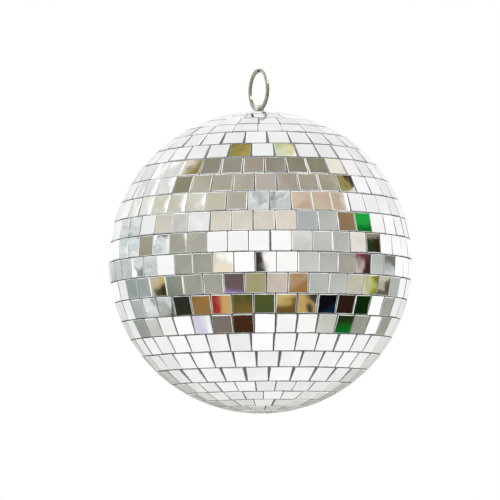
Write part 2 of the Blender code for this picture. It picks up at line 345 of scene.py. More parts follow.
def eye_material():
    """Milky clear moulded plastic."""
    mat, tree, shader, place = principled("eye_plastic_look")
    cloud = tree.noise(place, 420.0, 3.0, 0.5)
    tree.put(shader.inputs["Base Color"], tree.patches(cloud, (0.90, 0.90, 0.86), (0.98, 0.98, 0.95)))
    shader.inputs["Transmission Weight"].default_value = 0.6
    shader.inputs["IOR"].default_value = 1.46
    tree.put(shader.inputs["Roughness"], tree.spread(cloud, 0.3, 0.7, 0.22, 0.42))
    tree.put(shader.inputs["Normal"], bump(tree, cloud, 0.00008, 0.5))
    return mat


def glue_material():
    """Hot-melt glue, milky and slightly yellow."""
    mat, tree, shader, place = principled("hot_glue")
    cloud = tree.noise(place, 260.0, 3.0, 0.5)
    tree.put(shader.inputs["Base Color"], tree.patches(cloud, (0.62, 0.60, 0.50), (0.82, 0.81, 0.73)))
    shader.inputs["Subsurface Weight"].default_value = 0.3
    shader.inputs["Subsurface Radius"].default_value = (0.002, 0.0018, 0.0014)
    tree.put(shader.inputs["Roughness"], tree.spread(cloud, 0.3, 0.7, 0.12, 0.3))
    tree.put(shader.inputs["Normal"], bump(tree, cloud, 0.0001, 0.6))
    return mat


def metal_material(name, low, high, rough_low, rough_high, scale):
    """Plated metal with fine drawing marks and a patchy polish."""
    mat, tree, shader, place = principled(name)
    patch = tree.noise(place, scale, 3.0, 0.6)
    fine = tree.noise(place, scale * 9, 2.0, 0.5)
    tree.put(shader.inputs["Base Color"], tree.patches(patch, low, high))
    shader.inputs["Metallic"].default_value = 1.0
    tree.put(shader.inputs["Roughness"], tree.spread(fine, 0.3, 0.7, rough_low, rough_high))
    tree.put(shader.inputs["Normal"], bump(tree, fine, 0.00001, 0.5))
    return mat


def core_material():
    """Plain moulded core plastic, matt, with a faint orange-peel skin."""
    mat, tree, shader, place = principled("core_plastic_look")
    skin = tree.noise(place, 700.0, 2.0, 0.5)
    cloud = tree.noise(place, 30.0, 2.0, 0.5)
    tree.put(shader.inputs["Base Color"], tree.patches(cloud, (0.60, 0.60, 0.56), (0.70, 0.70, 0.66)))
    tree.put(shader.inputs["Roughness"], tree.spread(skin, 0.3, 0.7, 0.45, 0.6))
    tree.put(shader.inputs["Normal"], bump(tree, skin, 0.00004, 0.5))
    return mat


# ---------------------------------------------------------------- mesh building


class Solid:
    """Points, faces, one material number and one tone a face, and one shade a point."""

    def __init__(self):
        self.points = []
        self.faces = []
        self.looks = []
        self.tones = []
        self.shades = []

    def point(self, place, shade=0.5):
        self.points.append(place)
        self.shades.append(shade)
        return len(self.points) - 1

    def face(self, corners, look=0, tone=0.5):
        self.faces.append(corners)
        self.looks.append(look)
        self.tones.append(tone)

    def bridge(self, first, second, look=0, tones=None):
        count = len(first)
        for i in range(count):
            k = (i + 1) % count
            self.face([first[i], first[k], second[k], second[i]], look, tones[i] if tones else 0.5)

    def build(self, name, materials, smooth=None):
        mesh = bpy.data.meshes.new(name)
        mesh.from_pydata(self.points, [], self.faces)
        for mat in materials:
            mesh.materials.append(mat)
        mesh.polygons.foreach_set("material_index", self.looks)
        shade = mesh.attributes.new("tile_shade", "FLOAT", "POINT")
        shade.data.foreach_set("value", self.shades)
        # Per-face edge tone: random tone, with painted highlights and painted shade
        tone = mesh.attributes.new("edge_tone_and_painted_light", "FLOAT", "FACE")
        tone.data.foreach_set("value", self.tones)
        bm = bmesh.new()
        bm.from_mesh(mesh)
        bmesh.ops.recalc_face_normals(bm, faces=bm.faces)
        bm.to_mesh(mesh)
        bm.free()
        if smooth is not None:
            mesh.shade_smooth()
            mesh.set_sharp_from_angle(angle=math.radians(smooth))
        obj = bpy.data.objects.new(name, mesh)
        bpy.context.scene.collection.objects.link(obj)
        return obj


def row_layout(counts):
    """(latitude, tile height, width low, width high, count) of each row from the equator up."""
    rows = []
    for k, count in enumerate(counts):
        degrees = FIRST_ROW_DEG + FULL_PITCH_DEG * k
        if k >= FULL_ROWS:
            degrees = FIRST_CUT_DEG + CUT_PITCH_DEG * (k - FULL_ROWS)
        latitude = math.radians(degrees)
        high = ROW_HIGH_MM[k] * MM
        wedge = 2 * math.tan(math.pi / count)
        top = wedge * (R_BACK * math.cos(latitude) - high / 2 * math.sin(latitude)) - TILE_GAP
        low = wedge * (R_BACK * math.cos(latitude) + high / 2 * math.sin(latitude)) - TILE_GAP
        if k < FULL_ROWS:
            low = top + (low - top) * WEDGE_FILL
        rows.append((latitude, high, low, top, count))
    return rows


def tile_azimuths(row, count, latitude, upper):
    """Azimuth of each tile's middle, starting at the seam where the tape's ends meet."""
    joint = (UPPER_JOINT_DEG if upper else LOWER_JOINT_DEG)[row]
    turn = SEAM_STEP_DEG * row + (0.0 if upper else LOWER_SEAM_DEG)
    step = 360 / count
    seam = math.radians(FRONT_DEG + joint + step * round(turn / step))
    seam_width = SEAM_EXTRA / (R_BACK * math.cos(latitude))
    pitch = (2 * math.pi - seam_width) / count
    return [seam + seam_width / 2 + pitch * (i + 0.5) for i in range(count)], pitch


def cut_outline(corners, rng):
    """Outline of one cut tile: edges trimmed a little unevenly, some corners nipped off."""
    count = len(corners)
    outline = []
    for i in range(count):
        here = Vector(corners[i])
        ahead = Vector(corners[(i + 1) % count])
        side = ahead - here
        length = side.length
        along = side / length
        inward = Vector((-along.y, along.x))
        start = rng.uniform(*CORNER_MM) * MM
        if rng.random() < CHIPPED_SHARE:
            start = rng.uniform(*CHIPPED_CORNER_MM) * MM
        for share in SIDE_STATIONS:
            reach = start + (length - 2 * start) * share
            dent = rng.uniform(0.0, DENT_MM) * MM
            spot = here + along * reach + inward * dent
            outline.append((spot.x, spot.y))
    return outline


def shrink(corners, rng, trim):
    """Move each side of a convex outline in by a random cut of up to trim."""
    count = len(corners)
    cuts = [rng.uniform(0.0, trim) for _ in range(count)]
    lines = []
    for i in range(count):
        here = Vector(corners[i])
        along = (Vector(corners[(i + 1) % count]) - here).normalized()
        inward = Vector((-along.y, along.x))
        lines.append((here + inward * cuts[i], along))
    out = []
    for i in range(count):
        first, along_first = lines[i - 1]
        second, along_second = lines[i]
        cross = along_first.x * along_second.y - along_first.y * along_second.x
        gap = second - first
        reach = (gap.x * along_second.y - gap.y * along_second.x) / cross
        spot = first + along_first * reach
        out.append((spot.x, spot.y))
    return out


def add_tile(solid, corners, base, rng, edge_rng, trim=TRIM, bright=False):
    """One glass tile: corners are (along, up) anticlockwise as seen from outside, base its local frame.

    The bright ones, on the side towards the lens, have paler cut edges and broken sides: a painted
    highlight. On four-sided tiles the top edge is paler, a painted highlight, and the foot edge darker,
    painted shade. Returns the frame of the tile's face, X along the row, Y up.
    """
    shade = min(1.0, max(0.0, rng.gauss(*SHADE)))
    outline = cut_outline(shrink(corners, rng, trim), rng)
    tilt_x = max(-TILT_MOST_DEG, min(TILT_MOST_DEG, rng.gauss(0, TILT_DEG)))
    tilt_y = max(-TILT_MOST_DEG, min(TILT_MOST_DEG, rng.gauss(0, TILT_DEG)))
    twist = max(-TWIST_MOST_DEG, min(TWIST_MOST_DEG, rng.gauss(0, TWIST_DEG)))
    turn = Matrix.Rotation(math.radians(twist), 4, "Z")
    lean = Matrix.Rotation(math.radians(tilt_x), 4, "X")
    lean = lean @ Matrix.Rotation(math.radians(tilt_y), 4, "Y")
    lift = Matrix.Translation((0, 0, R_FACE - FACE_DROP))
    top = base @ lift @ lean @ turn
    foot = base @ Matrix.Translation((0, 0, R_BACK + GLASS_FOOT)) @ turn
    centre = Vector((sum(p[0] for p in outline), sum(p[1] for p in outline))) / len(outline)
    bevel = BEVEL * rng.uniform(*BEVEL_BY_TILE)
    wides = [edge_rng.choice(EDGE_WIDE) for _ in corners]
    # Bright tiles, on the side towards the lens, draw paler tones: a painted highlight
    tones = [edge_rng.choice(PAINTED_HIGHLIGHT_SIDE_TONES if bright else SIDE_TONES) for _ in corners]
    gap_tones = [edge_rng.choice(PAINTED_HIGHLIGHT_GAP_TONES if bright else GAP_TONES) for _ in corners]
    # Four-sided tiles: the top edge gets a painted highlight, the foot edge painted shade
    if len(corners) == 4:
        tones[0] = edge_rng.choice(FOOT_PAINTED_SHADE_TONES)
        tones[2] = edge_rng.choice(TOP_PAINTED_HIGHLIGHT_TONES)
    side_points = len(outline) // len(corners)
    low = []
    rim = []
    face = []
    for i, (x, y) in enumerate(outline):
        spot = Vector((x, y))
        nip = bevel * rng.uniform(*BEVEL_BY_POINT) * wides[i // side_points]
        inner = spot + (centre - spot).normalized() * nip * BEVEL_IN
        low.append(solid.point(foot @ spot.to_3d(), shade))
        rim.append(solid.point(top @ Vector((x, y, -BEVEL_DOWN * nip)), shade))
        face.append(solid.point(top @ inner.to_3d(), shade))
    solid.bridge(low, rim, SIDE, [gap_tones[i // side_points] for i in range(len(outline))])
    solid.bridge(rim, face, EDGE, [tones[i // side_points] for i in range(len(outline))])
    solid.face(face, MIRROR)
    solid.face(list(reversed(low)), SIDE)
    return top


def tile_base(azimuth, latitude, upper):
    """Local frame of a tile: X along the row, Y up the ball, Z outward."""
    if not upper:
        latitude = -latitude
    level = Vector((math.cos(azimuth), math.sin(azimuth), 0))
    out = level * math.cos(latitude) + Vector((0, 0, math.sin(latitude)))
    along = Vector((-level.y, level.x, 0))
    up = out.cross(along)
    base = Matrix((along, up, out)).transposed().to_4x4()
    base.translation = BALL
    return base


def add_tape(solid, azimuths, pitch, latitude, high, upper):
    """The cloth tape behind a row, open where its ends meet."""
    half = high / 2 - TAPE_INSET
    stations = [azimuths[0] - pitch * TAPE_END]
    stations += [azimuth + pitch / 2 for azimuth in azimuths[:-1]]
    stations.append(azimuths[-1] + pitch * TAPE_END)
    rings = []
    for azimuth in stations:
        ring = []
        for radius, up in ((R_TAPE, -half), (R_TAPE, half), (R_BACK, half), (R_BACK, -half)):
            rho = (radius * math.cos(latitude) - up * math.sin(latitude)) / math.cos(pitch / 2)
            z = radius * math.sin(latitude) + up * math.cos(latitude)
            spot = Vector((rho * math.cos(azimuth), rho * math.sin(azimuth), z if upper else -z))
            ring.append(solid.point(BALL + spot))
        rings.append(ring)
    for first, second in zip(rings, rings[1:]):
        solid.bridge(first, second, TAPE)
    solid.face(list(reversed(rings[0])), TAPE)
    solid.face(rings[-1], TAPE)


def build_strips(materials):
    """All the strips. Returns the frames of the tiles' faces in each row, by (half, row from 1)."""
    laid = {}
    for half, counts in (("upper", UPPER_TILES), ("lower", LOWER_TILES)):
        upper = half == "upper"
        for row, (latitude, high, wide_low, wide_high, count) in enumerate(row_layout(counts)):
            draw = 2 * row + (0 if upper else 1)
            rng = random.Random(GLASS_SEED + draw)
            edge_rng = random.Random(EDGE_SEED + draw)
            solid = Solid()
            azimuths, pitch = tile_azimuths(row, count, latitude, upper)
            foot, top = (wide_low / 2, wide_high / 2) if upper else (wide_high / 2, wide_low / 2)
            corners = [(-foot, -high / 2), (foot, -high / 2), (top, high / 2), (-top, high / 2)]
            faces = []
            trim = LOOSE_TRIM if row >= LOOSE_FROM_ROW else TRIM
            for azimuth in azimuths:
                aside = (math.degrees(azimuth) - FRONT_DEG + 180) % 360 - 180
                # Tiles on the side towards the lens get a painted highlight on their cut edges and broken
                # sides
                bright = row < PAINTED_HIGHLIGHT_ROWS[half] and PAINTED_HIGHLIGHT_FROM_DEG < aside < PAINTED_HIGHLIGHT_TO_DEG
                base = tile_base(azimuth, latitude, upper)
                faces.append(add_tile(solid, corners, base, rng, edge_rng, trim, bright))
            laid[half, row + 1] = faces
            add_tape(solid, azimuths, pitch, latitude, high, upper)
            piece = solid.build("tiles_{}{:02d}".format(half, row + 1), materials)
            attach(piece, "ball")
            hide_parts("mirror_strip_{}{:02d}".format(half, row + 1))
    return laid


def build_cap(materials):
    """The eight-sided cut tile that closes the bottom."""
    rng = random.Random(CAP_GLASS_SEED)
    solid = Solid()
    turns = [2 * math.pi * (i + 0.5) / CAP_SIDES for i in range(CAP_SIDES)]
    corners = [(CAP_R * math.cos(turn), CAP_R * math.sin(turn)) for turn in turns]
    base = Matrix.Translation(BALL) @ Matrix.Rotation(math.pi, 4, "X")
    add_tile(solid, corners, base, rng, random.Random(CAP_EDGE_SEED))
    ring = []
    for z in (R_TAPE, R_BACK):
        spots = [Vector((x * CAP_BACKING, y * CAP_BACKING, z)) for x, y in corners]
        ring.append([solid.point(base @ spot) for spot in spots])
    solid.bridge(ring[0], ring[1], TAPE)
    solid.face(list(reversed(ring[0])), TAPE)
    solid.face(ring[1], TAPE)
    piece = solid.build("bottom_cap", materials)
    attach(piece, "ball")
    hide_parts("bottom_cap_tile")


def rounded_section(wide, high, radius, steps=3):
    """Points round a rectangle with round corners, centred on zero."""
    points = []
    for corner in range(4):
        sign_x = 1 if corner in (0, 3) else -1
        sign_y = 1 if corner in (0, 1) else -1
        for i in range(steps + 1):
            turn = math.pi / 2 * (corner + i / steps)
            x = sign_x * (wide / 2 - radius) + radius * math.cos(turn)
            y = sign_y * (high / 2 - radius) + radius * math.sin(turn)
            points.append((x, y))
    return points


def build_ring(mat):
    """Two turns of flat wire with rounded edges, jogging from one layer to the other."""
    first = RING_JOG_AT + RING_JOG_HALF + RING_END_CLEAR
    last = RING_JOG_AT + 4 * math.pi - RING_JOG_HALF - RING_END_CLEAR
    jog = RING_JOG_AT + 2 * math.pi
    middle = RING_OUTER - RING_RADIAL / 2
    steps = 300
    soft = 0.2 * MM
    solid = Solid()
    rings = []
    for step in range(steps + 1):
        turn = first + (last - first) * step / steps
        share = min(1.0, max(-1.0, (turn - jog) / RING_JOG_HALF))
        share = math.sin(share * math.pi / 2)
        ends = min(step, steps - step)
        taper = (0.55, 0.85, 0.97)[ends] if ends < 3 else 1.0
        ring = []
        for radial, axial in rounded_section(RING_RADIAL * taper, RING_WIRE * taper, soft * taper):
            reach = middle + radial
            z = RING_CENTRE_Z + reach * math.sin(turn)
            ring.append(solid.point((reach * math.cos(turn), RING_OFFSET * share + axial, z)))
        rings.append(ring)
    for one, other in zip(rings, rings[1:]):
        solid.bridge(one, other)
    solid.face(list(reversed(rings[0])))
    solid.face(rings[-1])
    piece = solid.build("split_ring_wire", [mat], smooth=40)
    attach(piece, "ring")
    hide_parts("split_ring")
    return piece


def lathe_solid(profile, segments, wobble=None):
    """A closed (radius, height) profile turned about the ball's axis."""
    solid = Solid()
    rows = []
    for radius, height in profile:
        if radius < 1e-9:
            rows.append([solid.point((0, 0, BALL_Z + height))])
            continue
        ring = []
        for i in range(segments):
            turn = 2 * math.pi * i / segments
            spot = Vector((radius * math.cos(turn), radius * math.sin(turn), BALL_Z + height))
            ring.append(solid.point(wobble(spot) if wobble else spot))
        rows.append(ring)
    for first, second in zip(rows, rows[1:] + rows[:1]):
        if len(first) == 1 and len(second) == 1:
            continue
        if len(first) == 1 or len(second) == 1:
            tip, ring = (first[0], second) if len(first) == 1 else (second[0], first)
            for i in range(segments):
                solid.face([tip, ring[i], ring[(i + 1) % segments]])
            continue
        solid.bridge(first, second)
    return solid


def build_eye(mat):
    """Flange with a short neck and a holed tab with soft edges, moulded in one."""
    lead = 0.3 * MM
    soft = FLANGE_SOFT
    profile = [(0, SHANK_FOOT), (SHANK_R - lead, SHANK_FOOT), (SHANK_R, SHANK_FOOT + lead)]
    profile += [(SHANK_R, FLANGE_LOW - 0.25 * soft), (FLANGE_R - soft, FLANGE_LOW)]
    profile += [(FLANGE_R, FLANGE_LOW + soft), (FLANGE_R, FLANGE_HIGH - 2 * soft)]
    profile += [(FLANGE_R - soft, FLANGE_HIGH - 0.5 * soft), (FLANGE_R - 3 * soft, FLANGE_HIGH)]
    profile += [(0, FLANGE_HIGH)]
    eye = lathe_solid(profile, 48).build("eye_moulding", [mat], smooth=35)

    hinge = Vector((0, 0, HINGE_Z))
    foot = BALL_Z + TAB_FOOT - HINGE_Z
    tab = Solid()
    rings = []
    count = 64
    for i in range(count):
        turn = 2 * math.pi * i / count
        cos_turn = math.cos(turn)
        sin_turn = math.sin(turn)
        reach = TAB_R
        if sin_turn < 0:
            reach = min(TAB_R / max(abs(cos_turn), 1e-6), foot / sin_turn)
        ring = []
        for radial, axial in rounded_section(reach - TAB_HOLE_R, TAB_THICK, TAB_SOFT):
            radius = (reach + TAB_HOLE_R) / 2 + radial
            ring.append(tab.point(hinge + Vector((axial, radius * cos_turn, radius * sin_turn))))
        rings.append(ring)
    for first, second in zip(rings, rings[1:] + rings[:1]):
        tab.bridge(first, second)
    loop = tab.build("eye_loop", [mat], smooth=35)
    join = eye.modifiers.new("join", "BOOLEAN")
    join.object = loop
    join.operation = "UNION"
    join.solver = "EXACT"
    bpy.context.view_layer.update()
    graph = bpy.context.evaluated_depsgraph_get()
    mesh = bpy.data.meshes.new_from_object(eye.evaluated_get(graph))
    eye.modifiers.remove(join)
    eye.data = mesh
    bpy.data.objects.remove(loop, do_unlink=True)
    mesh.shade_smooth()
    mesh.set_sharp_from_angle(angle=math.radians(35))
    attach(eye, "ball")
    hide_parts("hanger_eye")


def build_glue(mat):
    """A lumpy ring of glue round the flange, between it and the crown's tiles."""
    lumps_a_metre = 520

    def lump(spot):
        away = Vector((spot.x, spot.y, 0)).normalized() * GLUE_R
        core = Vector((away.x, away.y, BALL_Z + GLUE_HEIGHT))
        swell = 0.9 + 0.5 * noise.noise(spot * lumps_a_metre)
        return core + (spot - core) * swell

    profile = []
    count = 10
    for i in range(count):
        turn = 2 * math.pi * i / count
        profile.append((GLUE_R + GLUE_WIDE * math.cos(turn), GLUE_HEIGHT + GLUE_HIGH * math.sin(turn)))
    piece = lathe_solid(profile, 60, lump).build("glue_bead", [mat], smooth=60)
    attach(piece, "ball")
    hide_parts("eye_glue")


def carry_over(node, mat):
    """Give a CAD node that stays a better material."""
    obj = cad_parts[node]
    for slot in obj.material_slots:
        slot.material = mat


# ---------------------------------------------------------------- surroundings


def view_axes():
    """Unit vectors from the ball to the lens, to the right and up in the picture."""
    right = Vector((math.cos(VIEW_AZ), math.sin(VIEW_AZ), 0))
    level = Vector((right.y, -right.x, 0))
    to_lens = level * math.cos(VIEW_EL) + Vector((0, 0, math.sin(VIEW_EL)))
    return to_lens, right, to_lens.cross(right)


# What the tiles mirror towards the lens. Each band is the part of the room that one row of tiles
# shows: its height in degrees, then colours from left to right, each from its bearing in degrees up
# to the next. None is the white tent. Heights and bearings are those of the mirroring tile. The
# colours here and in IN_TILES were read off the picture, tile by tile, and fit only its view.
SOFT_BANDS = (
    (34.7, ((-90, None), (-28.4, None), (-27.6, (142, 136, 124)), (-20, (150, 149, 134)),
            (-4, (164, 156, 144)), (14, (150, 146, 130)), (28, (138, 132, 114)), (32.1, (138, 132, 114)),
            (32.3, (236, 231, 220)), (41, (236, 231, 220)), (41.5, None))),
    (27.0, ((-90, None), (-39.9, None), (-39.6, (148, 144, 120)), (-31.2, (148, 144, 120)),
            (-30.8, (172, 168, 150)), (-24, (176, 170, 154)), (0, (182, 175, 161)),
            (14, (166, 156, 144)), (30, (168, 160, 142)), (35, (168, 160, 142)), (35.4, None))),
    (19.3, ((-90, None), (-47.8, None), (-47.2, (196, 194, 174)), (-37, (216, 216, 204)),
            (-14, (192, 187, 168)), (2, (205, 200, 190)), (16, (198, 180, 164)), (33, (184, 166, 144)),
            (37.4, (184, 166, 144)), (37.9, None))),
)
HARD_BANDS = (
    (11.6, ((-90, None), (-46, (202, 196, 186)), (-35, (214, 211, 206)), (-27, (229, 228, 229)),
            (-19, (214, 210, 197)), (5, (222, 212, 202)), (13.5, (180, 184, 184)),
            (21.5, (188, 188, 182)), (30, (150, 124, 96)), (37.5, (34, 140, 58)), (44, None))),
    (3.9, ((-90, None), (-53, (150, 146, 130)), (-44, (206, 209, 207)), (-36, (160, 158, 146)),
           (-28, (170, 169, 156)), (-20, None), (11.5, (210, 211, 206)), (19.5, (192, 193, 188)),
           (27, (176, 177, 172)), (35.5, (232, 226, 218)), (43, (46, 60, 32)), (51, None))),
    (-3.9, ((-90, (214, 220, 219)), (-52, (170, 178, 178)), (-41, None), (-34, (168, 167, 156)),
            (-18, (226, 222, 196)), (-11, None), (-2.4, (52, 46, 42)), (2.5, None),
            (13, (205, 207, 202)), (21, (192, 194, 188)), (29, (160, 156, 147)), (37, (150, 108, 104)),
            (44, (202, 204, 198)), (52, (122, 126, 114)), (60, None))),
    (-11.6, ((-90, None), (-68, (160, 168, 164)), (-50, (134, 131, 118)), (-43, (156, 138, 96)),
             (-37, (130, 136, 120)), (-29, (172, 171, 160)), (-13, (104, 86, 80)), (-5, (174, 166, 128)),
             (3, (202, 190, 178)), (11, (160, 118, 70)), (19, (190, 192, 187)), (35, (206, 200, 180)),
             (43, (150, 158, 84)), (51, (84, 88, 72)), (58, (176, 182, 176)), (70, None))),
    (-19.3, ((-90, None), (-66, (178, 184, 180)), (-52, None), (-42, (170, 176, 164)),
             (-36, (48, 52, 42)), (-28, (150, 114, 66)), (-19, (196, 120, 84)), (-11, (118, 98, 48)),
             (-3, (84, 92, 42)), (5.6, (146, 110, 62)), (14, (204, 166, 104)), (22, (14, 14, 18)),
             (30.5, (40, 26, 20)), (38.5, (14, 44, 14)), (47, None), (56.8, (168, 168, 158)),
             (65.2, None))),
    (-27.0, ((-90, None), (-70, (160, 163, 158)), (-53, (212, 214, 208)), (-46, None),
             (-20, (132, 124, 114)), (-12, (70, 44, 26)), (-3.4, None), (24, (222, 219, 213)),
             (33, (38, 60, 34)), (41, (176, 174, 162)), (50, None), (60, (170, 170, 160)), (65, None))),
)

# What single tiles show: (half, row, bearing of the tile, colour of all of it or None to keep the
# band's), then each thing in it as the side of the tile it lies on in degrees (0 right, 90 up), where
# its edge runs from -1, the far rim, to 1, the near one, how soft that edge is, and its colour. Later
# ones cover earlier ones. WHITE is as bright as the tent, above a display's white.
WHITE = (270, 270, 266)
IN_TILES = (
    ("upper", 6, -10, (158, 148, 78), ((20, 0.0, 1.4, (180, 158, 88)), (90, 0.75, 0.3, (132, 126, 70)))),
    ("upper", 6, 14, (216, 224, 200), ((10, 0.0, 1.2, (230, 230, 178)), (70, 0.5, 0.6, (190, 180, 104)),
        (-50, 0.75, 0.5, WHITE))),
    ("upper", 5, -31, (150, 130, 74), ((145, 0.3, 0.9, (238, 232, 216)),)),
    ("upper", 5, -42, (228, 229, 226), ((145, 0.2, 0.7, WHITE),)),
    ("upper", 4, 38, (160, 148, 88), ((10, 0.15, 0.5, (66, 46, 34)), (-60, 0.75, 0.2, (236, 232, 232)))),
    ("upper", 4, 3, None, ((0, -0.3, 1.2, (190, 181, 175)),)),
    ("upper", 4, -44, (230, 230, 228), ((0, 0.5, 0.3, WHITE),)),
    ("upper", 3, -42, None, ((0, 0.5, 0.12, WHITE),)),
    ("upper", 3, -34, (204, 202, 184), ((0, 0.55, 0.12, WHITE),)),
    ("upper", 3, -25, None, ((0, 0.65, 0.12, WHITE),)),
    ("upper", 4, -53, (226, 225, 224), ((0, 0.5, 0.3, WHITE),)),
    ("upper", 4, -62, (232, 232, 232), ((0, 0.1, 0.5, WHITE),)),
    ("upper", 3, -52, (234, 232, 228), ((0, 0.5, 0.15, WHITE),)),
    ("upper", 3, -61, (230, 232, 230), ((0, 0.3, 0.4, WHITE),)),
    ("upper", 5, -52, (230, 232, 230), ((170, 0.1, 0.5, WHITE),)),
    ("upper", 3, 16, None, ((-60, 0.0, 1.2, (200, 174, 148)),)),
    ("upper", 3, 33, None, ((0, 0.7, 0.1, WHITE),)),
    ("upper", 2, 43, (36, 166, 66), ((-80, 0.45, 0.9, (10, 106, 34)),)),
    ("upper", 1, -41, None, ((90, 0.75, 0.15, (70, 92, 84)), (180, 0.75, 0.1, WHITE),
        (0, 0.72, 0.1, WHITE))),
    ("upper", 1, -31, None, ((0, 0.78, 0.1, WHITE),)),
    ("upper", 1, 47, (36, 62, 32), ((0, 0.35, 0.8, (48, 34, 22)), (90, 0.78, 0.3, (158, 152, 134)))),
    ("lower", 1, -52, None, ((-90, 0.0, 0.5, (128, 144, 144)), (180, 0.6, 0.1, WHITE))),
    ("lower", 1, -14, (222, 216, 194), ((-90, 0.3, 0.8, (242, 230, 208)), (35, 0.45, 0.8, WHITE))),
    ("lower", 1, 2, (58, 51, 45), ((90, 0.6, 0.5, (34, 30, 30)), (0, -0.1, 0.3, WHITE))),
    ("lower", 1, 42, (200, 190, 180), ((75, 0.15, 0.8, (134, 62, 70)), (-5, 0.0, 0.7, (66, 36, 42)))),
    ("lower", 1, 57, (176, 182, 178), ((75, 0.1, 0.5, (112, 116, 108)),
        (-60, 0.5, 0.3, (214, 218, 216)))),
    ("lower", 2, -41, (208, 178, 112), ((-80, -0.05, 0.15, (56, 50, 24)),
        (180, 0.6, 0.2, (196, 192, 180)))),
    ("lower", 2, -34, None, ((30, 0.2, 1.0, (146, 150, 134)), (140, 0.3, 0.8, (130, 146, 142)))),
    ("lower", 2, -10, (106, 90, 84), ((-125, 0.75, 0.5, (160, 132, 198)),)),
    ("lower", 2, 15, None, ((130, 0.3, 1.2, (186, 158, 122)),)),
    ("lower", 2, 46, (176, 184, 78), ((55, 0.6, 0.6, (116, 114, 40)), (-70, 0.7, 0.5, (136, 134, 48)),
        (180, 0.6, 0.7, (204, 200, 172)))),
    ("lower", 2, 54, (196, 190, 172), ((30, 0.0, 0.1, (82, 82, 62)), (100, 0.45, 0.1, (204, 200, 182)),
        (-100, 0.6, 0.1, (104, 98, 80)))),
    ("lower", 3, -40, None, ((60, 0.0, 0.3, (214, 220, 226)), (-35, 0.85, 0.15, (30, 28, 20)))),
    ("lower", 3, -16, (204, 170, 112), ((180, 0.1, 0.7, (172, 54, 46)),
        (180, 0.75, 0.3, (150, 48, 44)))),
    ("lower", 3, -8, None, ((70, 0.35, 0.9, (70, 84, 42)),)),
    ("lower", 3, 1, None, ((-60, 0.2, 1.4, (80, 92, 52)),)),
    ("lower", 3, 10, (202, 178, 112), ((-70, -0.1, 0.8, (104, 78, 36)),)),
    ("lower", 3, 18, (208, 174, 108), ((35, 0.15, 0.4, (56, 56, 52)),)),
    ("lower", 3, 27, None, ((-50, 0.45, 0.8, (14, 36, 54)),)),
    ("lower", 4, -26, None, ((180, -0.2, 1.0, (218, 216, 234)),)),
    ("lower", 4, 38, (40, 50, 22), ((-90, 0.05, 0.9, (14, 112, 36)),)),
)

# Bands between these heights catch more light, by this factor
LIT_FROM = 0.0
LIT_TO = 30.0
LIT_BY = 1.12

# How a mirrored thing's colour drifts over its own face, as a factor
MOTTLE = ((0.34, (0.80, 0.80, 0.79, 1)), (0.46, (0.96, 0.96, 0.96, 1)), (0.56, (1.04, 1.04, 1.03, 1)),
          (0.68, (1.18, 1.17, 1.14, 1)))

# A band's own extent, where no band is, and how far its things sway about their bearings
BAND_HALF_DEG = 3.85
BAND_SOFT_DEG = 0.6
CLEAR = (0.8, 0.8, 0.8, 0.0)
SWAY_DEG = 0.25

# Reach of what a single tile shows, the edge of a colour that fills it, and half a face's width
TILE_HALF_DEG = 2.6
TILE_SOFT_DEG = 0.4
WHOLE_EDGE = (-9.0, 1.0)
FACE_HALF = 4.6 * MM

# Crumpled, glassy looking stretches: (bearing, half width, height, half height)
CRUMPLES = (
    (-60.0, 9.0, 7.0, 9.0),
    (-40.0, 3.6, 3.9, 3.6),
    (2.0, 8.0, 19.3, 3.6),
    (-52.0, 8.0, -4.0, 5.0),
    (-48.0, 5.5, -19.3, 4.0),
    (56.0, 4.5, -8.0, 7.5),
)

# The colours of the crumpled film, from the dark to the light side of its folds and back
FILM = ((0.38, srgb(122, 138, 142)), (0.45, srgb(196, 206, 208)), (0.50, srgb(252, 253, 253)),
        (0.55, srgb(176, 188, 190)), (0.62, srgb(236, 240, 240)))

FILM_SHARE = 0.88

# The tent's faint clouds, and what its low far sides show
CLOUD = (0.64, 0.67, 0.66, 1)
LOW_RIM = srgb(168, 171, 161)

# The white tent's brightness by height, from straight down (0) to straight up (1)
TENT = ((0.0, (0.92, 0.92, 0.89, 1)), (0.28, (1.03, 1.03, 1.01, 1)), (0.36, (1.10, 1.10, 1.09, 1)),
        (0.52, (1.10, 1.10, 1.09, 1)), (0.62, (0.93, 0.93, 0.93, 1)), (0.80, (0.95, 0.95, 0.95, 1)))


def shown_by(faces, where):
    """What the tile nearest to a bearing shows of the surroundings.

    Returns the bearing and height shown at its middle, and the matrix that turns a step away from
    them into a step on its face, with 1 from the middle to a rim.
    """
    to_lens, right, up = view_axes()
    lens = BALL + to_lens * VIEW_DISTANCE
    level_lens = Vector((to_lens.x, to_lens.y, 0)).normalized()

    def shown(frame_of_face, along, climb):
        spot = frame_of_face @ Vector((along, climb, 0))
        normal = (frame_of_face.to_3x3() @ Vector((0, 0, 1))).normalized()
        seen_from = (lens - spot).normalized()
        mirrored = 2 * normal.dot(seen_from) * normal - seen_from
        facing = (mirrored + to_lens).normalized()
        bearing = math.degrees(math.atan2(facing.dot(right), facing.dot(level_lens)))
        return Vector((bearing, math.degrees(math.asin(facing.z))))

    near = [one for one in faces if (one.to_3x3() @ Vector((0, 0, 1))).dot(to_lens) > 0]
    face = min(near, key=lambda one: abs(shown(one, 0, 0).x - where))
    middle = shown(face, 0, 0)
    across = shown(face, FACE_HALF, 0) - middle
    climb = shown(face, 0, FACE_HALF) - middle
    to_tile = Matrix(((across.x, climb.x), (across.y, climb.y))).inverted()
    return middle.x, middle.y, to_tile


def window(tree, value, middle, half, soft):
    """1 within half of the middle and 0 outside, with a soft edge."""
    off = tree.math("ABSOLUTE", tree.math("SUBTRACT", value, middle))
    return tree.spread(off, half + soft / 2, half - soft / 2, smooth=True)


def product(tree, *shares):
    result = shares[0]
    for share in shares[1:]:
        result = tree.math("MULTIPLY", result, share)
    return result


